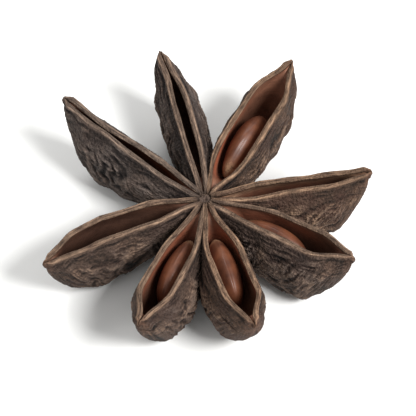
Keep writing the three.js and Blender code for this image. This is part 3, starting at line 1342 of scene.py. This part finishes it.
    def _round_beak(self, rings: Array) -> Array:
        """Adds rings that shrink round the last one's middle and move on, like half an egg.

        Their size goes with a power of the cosine of a quarter turn, and their reach with its
        sine.

        Args:
            rings: the rings up to the beak.

        Returns:
            All the rings.
        """
        turn = np.linspace(0.0, np.pi / 2.0, self.fineness.beak_rings + 2)[1:-1, None, None]
        last = rings[-1]
        middle = last.mean(axis=0)
        bearing = math.radians(self.bearing)
        onward = np.array([math.cos(bearing), math.sin(bearing), 0.2])
        shrunk = (last - middle)[None] * np.cos(turn) ** 1.3
        cap = middle + shrunk + self.build.beak_reach * onward * np.sin(turn)
        return np.concatenate([rings, cap])

    def track(self, rings: Array, place: Array, count: int) -> Track:
        """Measures the skin: the lengths of the steps round each ring, added up from the keel.

        Args:
            rings: the points of the skin.
            place: the place of every ring, as a column.
            count: how many points a half section has.

        Returns:
            The distances of every point.
        """
        step = np.linalg.norm(np.diff(rings[:, :count], axis=1), axis=2)
        left = np.concatenate([np.zeros((len(step), 1)), np.cumsum(step, axis=1)], axis=1)
        across = np.concatenate([left, -left[:, -2:0:-1]], axis=1)
        rim = left[:, self.fineness.outside, None]
        whole = np.broadcast_to(place, across.shape)
        return Track(int(self.bearing), whole, whole * self.length, across, np.abs(across) - rim)

    def _add_bark(self, skin: Skin, track: Track) -> None:
        """Raises the fine relief, and stores the fields that the finish reads.

        The painted shade inside the cavity grows with the distance from the rim, and is darker all
        over on carpels with little rust-red.

        Args:
            skin: the carpel's skin.
            track: the distances of its points.
        """
        lift, light = self.bark.relief(track)
        skin.raise_by(lift)
        heel = 1.0 - ease(track.place, 0.0, 0.045)
        # Painted shade on the inner walls, darker deeper in the cavity and on carpels with little
        # rust-red.
        deep = ease(track.past_rim, 0.7, 3.4) * (1.0 - 0.6 * self.rust)
        skin.fields = {
            Field.RELIEF: light,
            Field.RIM: self.bark.edges(track, self.brim),
            Field.INNER: ease(track.past_rim, 0.66, 0.84),
            Field.CAVITY_SHADE: deep + 1.1 * (1.0 - self.rust) ** 2,
            Field.TIP: 0.7 * (1.0 - self.greyness) * ease(track.place, 0.96, 1.0),
            Field.HEEL: heel * (1.0 - self.bark.heel(track)),
            Field.GREYNESS: np.full_like(track.along, self.greyness),
            Field.RUST: self.rust * self.bark.band(track),
        }
        apart = 17.0 * track.seed
        skin.grain = np.stack([track.along + apart, track.past_rim], axis=-1)

    def dress(self, finish: bpy.types.Material) -> None:
        """Lays the carpel into the scene in its finish."""
        piece = self.skin().lay(f"carpel_{round(self.bearing)}")
        fit(piece, POD_NODE, finish)


# --- Column ----------------------------------------------------------------------------------


@dataclass
class Column:
    """The short column between the carpels, with the scar of the stalk under it.

    Attributes:
        radius: radius of the column.
        top: height at which it starts to narrow.
        tip_radius: radius of the knob on top.
        tip_top: height of the knob.
        knob_edge: the radii between which the pale knob gives way to the dark gap round it.
        scar_radius: radius of the scar.
        scar_height: height of the scar over the floor.
        scar_dish: how deep the scar is dished.
        ring_radius: radius of the ring in the middle of the scar.
        roughness: height of the broken fibres.
        fibre_rounds: radius of the circle in the noise that the fibres are read on.
        growth: distance from one growth ring to the next.
        rounding: how many steps of the profile the rounding reaches each way.
        sides: points round the axis.
        steps: points along the profile.
    """

    radius: float = 1.75
    top: float = 5.0
    tip_radius: float = 0.5
    tip_top: float = 5.95
    knob_edge: Span = (0.7, 1.3)
    scar_radius: float = 2.15
    scar_height: float = 2.05
    scar_dish: float = 0.22
    ring_radius: float = 0.6
    roughness: float = 0.06
    fibre_rounds: float = 3.6
    growth: float = 0.5
    rounding: int = 3
    sides: int = 144
    steps: int = 110

    def profile(self) -> Array:
        """Radius and height from the middle of the scar to the middle of the knob, rounded off.

        The corners run out over the pit, the ring and the dished scar, up the side and in over
        the knob. They are joined by straight lines, read at even steps and then averaged over a
        few neighbours, which rounds them.

        Returns:
            The profile, as points by two.
        """
        dish, ring = self.scar_dish, self.ring_radius
        scar, top, tip = self.scar_height, self.top, self.tip_top
        corners = np.array(
            [
                [0.0, scar + 2.0 * dish],
                [0.5 * ring, scar + 1.5 * dish],
                [ring, scar + dish / 3.0],
                [1.6 * ring, scar + dish],
                [0.85 * self.scar_radius, scar],
                [self.scar_radius, scar + dish],
                [self.scar_radius, scar + 3.0 * dish],
                [self.radius, (scar + top) / 2.0],
                [self.radius, top],
                [self.tip_radius, mix(top, tip, 0.8)],
                [0.6 * self.tip_radius, tip],
                [0.0, mix(top, tip, 0.5)],
            ]
        )
        reach = np.concatenate([[0.0], np.cumsum(np.linalg.norm(np.diff(corners, axis=0), axis=1))])
        even = np.linspace(0.0, reach[-1], self.steps)
        path = np.stack([np.interp(even, reach, corner) for corner in corners.T], axis=-1)
        padded = np.pad(path, ((self.rounding, self.rounding), (0, 0)), mode="edge")
        window = 2 * self.rounding + 1
        return np.lib.stride_tricks.sliding_window_view(padded, window, axis=0).mean(axis=-1)

    def scar_lights(self, radius: Array, height: Array) -> Array:
        """How much lighter the scar's ring and edge are than the rest, and how much darker its pit."""
        ring = 0.5 * hump(radius, self.ring_radius, 0.16) + 0.4 * hump(radius, self.scar_radius, 0.2)
        return (ring - 0.4 * hump(radius, 0.0, 0.3)) * ~self.is_above(height)

    def is_above(self, height: Array) -> Array:
        """Where the column shows on the open side of the pod, and not under it."""
        return height >= self.top - 2.0

    def break_up(self, x: Array, y: Array, turn: Array, radius: Array) -> Array:
        """The broken surface: crests, grains, fibres that run outwards, and growth rings.

        The fibres are ridges read on a circle, so that they meet up all round. The rings are a
        cosine of the radius, which slow noise bends.

        Args:
            x: places along +X.
            y: places along +Y.
            turn: the angles about the axis.
            radius: the distances from it.

        Returns:
            The height as a share of the roughness.
        """
        sway = 0.6 * Noise(13).at(x / 0.9, y / 0.9)
        crests = Noise(11).ridges(x / 0.3 + sway, y / 0.3 - sway)
        rough = 0.5 * crests + 0.6 * Noise(12).at(x / 0.13, y / 0.13)
        round_x, round_y = self.fibre_rounds * np.cos(turn), self.fibre_rounds * np.sin(turn)
        fibres = Noise(14).ridges(round_x + 0.5 * x, round_y + 0.5 * y) * ease(radius, 0.6, 1.3)
        rings = np.cos(2.0 * np.pi * radius / self.growth + 2.5 * sway)
        return 0.5 * rough + 0.45 * fibres + 0.16 * rings

    def skin(self) -> Skin:
        """The profile turned about the axis and roughened.

        It is darkest in the gap round the knob, and palest and greyest on the knob.

        Returns:
            The skin.
        """
        profile = self.profile()
        turn = np.linspace(0.0, 2.0 * np.pi, self.sides, endpoint=False)[None]
        radius, height = profile[1:-1, :1], profile[1:-1, 1:]
        circles = (radius * np.cos(turn), radius * np.sin(turn), height)
        rings = np.stack(np.broadcast_arrays(*circles), axis=-1)
        start, end = (np.array([0.0, 0.0, profile[row, 1]]) for row in (0, -1))
        skin = Skin(rings, start, end)
        x, y = skin.rings[:, :, 0], skin.rings[:, :, 1]
        rough = self.break_up(x, y, turn, radius)
        skin.raise_by(self.roughness * rough * ease(radius, 0.05, 0.3))
        above = self.is_above(height)
        knob = above * (1.0 - ease(radius, *self.knob_edge))
        light = 0.34 + 0.4 * rough + self.scar_lights(radius, height) + 0.36 * knob
        bare = np.zeros_like(x)
        skin.fields = {
            kind: bare for kind in (Field.RIM, Field.INNER, Field.CAVITY_SHADE, Field.TIP, Field.RUST)
        }
        skin.fields[Field.RELIEF] = np.clip(light, 0.0, 1.0)
        skin.fields[Field.HEEL] = 0.3 + 0.6 * above - 0.85 * knob + bare
        skin.fields[Field.GREYNESS] = 0.05 + 0.5 * knob + bare
        skin.grain = np.stack([x, y], axis=-1)
        return skin

    def dress(self, finish: bpy.types.Material) -> None:
        """Lays the column into the scene in its finish."""
        fit(self.skin().lay("column"), POD_NODE, finish)


# --- Seeds -----------------------------------------------------------------------------------


@dataclass
class Seed:
    """An egg-shaped lens on edge in its carpel, narrower towards the column.

    Attributes:
        carpel: the carpel that it lies in.
        length: its length, in millimetres.
        depth: its depth, from its upper to its lower edge.
        thickness: its thickness.
        place: where its middle lies along the carpel.
        clearance: its height over the floor of the cavity.
        taper: how much narrower its end towards the column is.
        keel: how far the keel round its edge stands out, as a share of its depth.
        scar_at: where the scar is, from -1 at the end towards the column to 1 at the other.
        scar_depth: how deep the scar is sunk.
        rings: rings along it.
        sides: points round it.
    """

    carpel: Carpel
    length: float = 6.8
    depth: float = 4.1
    thickness: float = 2.4
    place: float = 0.46
    clearance: float = 0.8
    taper: float = 0.16
    keel: float = 0.015
    scar_at: float = -0.92
    scar_depth: float = 0.06
    rings: int = 64
    sides: int = 72

    def scar(self, along: Array, turn: Array, width: float) -> Array:
        """The scar, as a bell along the seed that fades towards its lower edge."""
        return hump(along - self.scar_at, 0.0, width) * ease(np.sin(turn), -0.6, 0.4)

    def skin(self) -> Skin:
        """A ball squeezed to the seed's sizes, with a low keel round its edge.

        Returns:
            The skin, with the scar stored as the heel.
        """
        build = self.carpel.build
        size = self.carpel.section(np.array([[self.place]]))
        floor = float(size.lip[0, 0] - size.cavity_depth[0, 0])
        middle = floor + self.clearance + self.depth / 2.0
        reach = self.length / 2.0 / (self.carpel.length - build.root_radius)
        polar = np.linspace(0.0, np.pi, self.rings + 2)[1:-1, None]
        turn = np.linspace(0.0, 2.0 * np.pi, self.sides, endpoint=False)[None]
        along = -np.cos(polar)
        width = (1.0 + self.taper * along) * np.sin(polar)
        side = self.thickness / 2.0 * width * np.cos(turn)
        keel = 1.0 + self.keel * hump(np.abs(np.sin(turn)), 1.0, 0.06)
        height = middle + self.depth / 2.0 * width * np.sin(turn) * keel
        rings = self.carpel.settle(self.place + reach * along, side, height)
        tips = self.place + reach * np.array([-1.0, 1.0])
        start, end = self.carpel.settle(tips, np.zeros(2), np.full(2, middle))
        skin = Skin(rings, start, end)
        skin.raise_by(-self.scar_depth * self.scar(along, turn, 0.1))
        scar = np.clip(1.3 * self.scar(along, turn, 0.16), 0.0, 1.0)
        skin.fields = {Field.HEEL: np.broadcast_to(scar, rings.shape[:2])}
        return skin

    def dress(self, finish: bpy.types.Material) -> None:
        """Lays the seed into the scene in its finish."""
        number = round(self.carpel.bearing)
        fit(self.skin().lay(f"kernel_{number}"), f"seed_{number}", finish)


# --- Studio ----------------------------------------------------------------------------------


def toward(azimuth: float, elevation: float) -> Array:
    """The direction with a bearing and a height, by their cosines and sines.

    Args:
        azimuth: the bearing from +X towards +Y, in degrees.
        elevation: the height over the horizon, in degrees.

    Returns:
        The unit direction.
    """
    heading, climb = math.radians(azimuth), math.radians(elevation)
    level = math.cos(climb)
    return np.array([math.cos(heading) * level, math.sin(heading) * level, math.sin(climb)])


def aim(away: Array) -> tuple[float, float, float]:
    """The rotation of a camera or lamp that looks back along a direction.

    Args:
        away: unit direction from the target to the camera or lamp.

    Returns:
        The rotation about X, Y and Z, in radians.
    """
    tilt = math.acos(float(away[2]))
    heading = math.atan2(float(away[1]), float(away[0])) + math.pi / 2.0
    return (tilt, 0.0, heading)


@dataclass(frozen=True)
class Lamp:
    """A soft square light, with its bearing and height seen from the pod.

    Attributes:
        name: its name.
        azimuth: where it stands, in degrees from +X towards +Y.
        elevation: its height over the horizon, in degrees.
        distance: how far it stands, in metres.
        width: its side, in metres.
        power: its power, in watts.
    """

    name: str
    azimuth: float
    elevation: float
    distance: float
    width: float
    power: float

    def hang(self, target: Array) -> None:
        """Hangs the lamp, turned towards the target.

        Args:
            target: the place that it lights.
        """
        away = toward(self.azimuth, self.elevation)
        data = bpy.data.lights.new(self.name, "AREA")
        data.size = self.width
        data.energy = self.power
        lamp = link(self.name, data)
        lamp.location = target + away * self.distance
        lamp.rotation_euler = aim(away)


@dataclass
class Studio:
    """The camera, the floor and the lights.

    Attributes:
        elevation: the camera's height over the horizon, in degrees; it looks along +Y.
        distance: the camera's distance, in metres.
        lens: its focal length, in millimetres.
        nearest: how near to it things still show, in metres.
        floor_size: the floor's side, in metres.
        sky: strength of the even light from all round.
        lamps: the lights.
    """

    elevation: float = 58.0
    distance: float = 0.3
    lens: float = 300.0
    nearest: float = 0.01
    floor_size: float = 2.0
    sky: float = 0.46
    lamps: Sequence[Lamp] = (
        Lamp("key", 328.0, 50.0, 0.45, 0.16, 3.0),
        Lamp("fill", 215.0, 45.0, 0.5, 0.3, 0.4),
        Lamp("back", 95.0, 50.0, 0.5, 0.25, 1.0),
    )

    def set_up(self) -> None:
        """Places everything round the pod's box."""
        low, high = (np.array(corner) for corner in CAD_BOX)
        middle = (low + high) / 2.0
        for lamp in self.lamps:
            lamp.hang(middle)
        self._place_camera(middle)
        self._lay_floor()
        self._light_sky()

    def _place_camera(self, middle: Array) -> None:
        """Points the camera at the middle of the pod's box.

        Args:
            middle: the place that it looks at.
        """
        elevation = math.radians(self.elevation)
        away = np.array([0.0, -math.cos(elevation), math.sin(elevation)])
        data = bpy.data.cameras.new("camera")
        data.lens = self.lens
        data.clip_start = self.nearest
        camera = link("camera", data)
        camera.location = middle + away * self.distance
        camera.rotation_euler = aim(away)
        bpy.context.scene.camera = camera

    def _lay_floor(self) -> None:
        """Lays a square floor under the pod."""
        reach = self.floor_size / 2.0
        corners = [(x * reach, y * reach, 0.0) for x, y in ((-1, -1), (1, -1), (1, 1), (-1, 1))]
        mesh = bpy.data.meshes.new("floor")
        mesh.from_pydata(corners, [], [(0, 1, 2, 3)])
        mesh.materials.append(PaleFloor().material())
        floor = link("floor", mesh)

    def _light_sky(self) -> None:
        """Gives the world an even white light."""
        world = bpy.data.worlds.new("studio")
        world.use_nodes = True
        background = world.node_tree.nodes["Background"]
        background.inputs["Color"].default_value = (1.0, 1.0, 1.0, 1.0)
        background.inputs["Strength"].default_value = self.sky
        bpy.context.scene.world = world
        bpy.context.scene.view_settings.view_transform = "Standard"


# --- The pod ---------------------------------------------------------------------------------

CARPELS: Sequence[Mapping[str, float]] = (
    {"bearing": 4, "length": 14.1, "gape": 0.45, "split": 0.3, "beak": 0.04, "bow": -0.15,
     "lean": 5, "lift": 0, "rise": 0.2, "hook": 0.1, "greyness": 0.1, "rust": 0.2, "brim": 1.2},
    {"bearing": 60, "length": 14.5, "gape": 1.22, "split": 0.26, "beak": 0.01, "bow": 0.1,
     "lean": -3, "lift": 0.12, "rise": 0.4, "hook": -0.1, "greyness": 0.2, "rust": 1.0, "brim": 0},
    {"bearing": 104, "length": 14.2, "gape": 0.35, "split": 0.35, "beak": 0.1, "bow": -0.3,
     "lean": 4, "lift": 0, "rise": 0.3, "hook": 0.2, "greyness": 0.7, "rust": 0.1, "brim": 0.15},
    {"bearing": 146, "length": 14.9, "gape": 0.32, "split": 0.28, "beak": 0.28, "bow": 0.1,
     "lean": -2, "lift": 0.2, "rise": 0.2, "hook": -0.35, "greyness": 0.9, "rust": 0.4, "brim": 0.1},
    # The greyness of this carpel is raised partly to darken it as painted shade.
    {"bearing": 208, "length": 15.4, "gape": 0.7, "split": 0.3, "beak": 0.01, "bow": -0.6,
     "lean": 2, "lift": 0, "rise": 0, "hook": 0.2, "greyness": 0.45, "rust": 0, "brim": 0.15,
     "elbow": 0.45},
    {"bearing": 248, "length": 14.6, "gape": 1.1, "split": 0.45, "beak": 0.02, "bow": 0.3,
     "lean": -5, "lift": 0, "rise": 0.4, "hook": 0.3, "greyness": 0.4, "rust": 0.5, "brim": 0.1},
    {"bearing": 287, "length": 14.3, "gape": 1.2, "split": 0.45, "beak": 0.01, "bow": -0.4,
     "lean": 4, "lift": 0.15, "rise": 0.1, "hook": -0.3, "greyness": 0.2, "rust": 0.7, "brim": 0},
    {"bearing": 326, "length": 14.4, "gape": 1, "split": 0.45, "beak": 0.02, "bow": 0.4,
     "lean": 7, "lift": 0, "rise": 0.5, "hook": 0.3, "greyness": 0.5, "rust": 0.3, "brim": 0.2},
)
SEEDED_GAPE = 1.0


def share_room(carpels: Sequence[Carpel]) -> None:
    """Tells each carpel how far round it may reach: half the angle to the next one on each side.

    Args:
        carpels: the carpels, by rising bearing.
    """
    for right, left in zip(carpels, [*carpels[1:], carpels[0]]):
        right.room_left = left.room_right = ((left.bearing - right.bearing) % 360.0) / 2.0


def main() -> None:
    """Builds the pod and the studio."""
    logging.basicConfig(level=logging.INFO, format="%(name)s %(message)s")
    wood, shell = PodWood().material(), SeedShell().material()
    carpels = [Carpel(**sizes) for sizes in CARPELS]
    share_room(carpels)
    for carpel in carpels:
        carpel.dress(wood)
    Column().dress(wood)
    for carpel in carpels:
        if carpel.gape >= SEEDED_GAPE:
            Seed(carpel).dress(shell)
    Studio().set_up()
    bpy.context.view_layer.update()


if __name__ == "__main__":
    main()
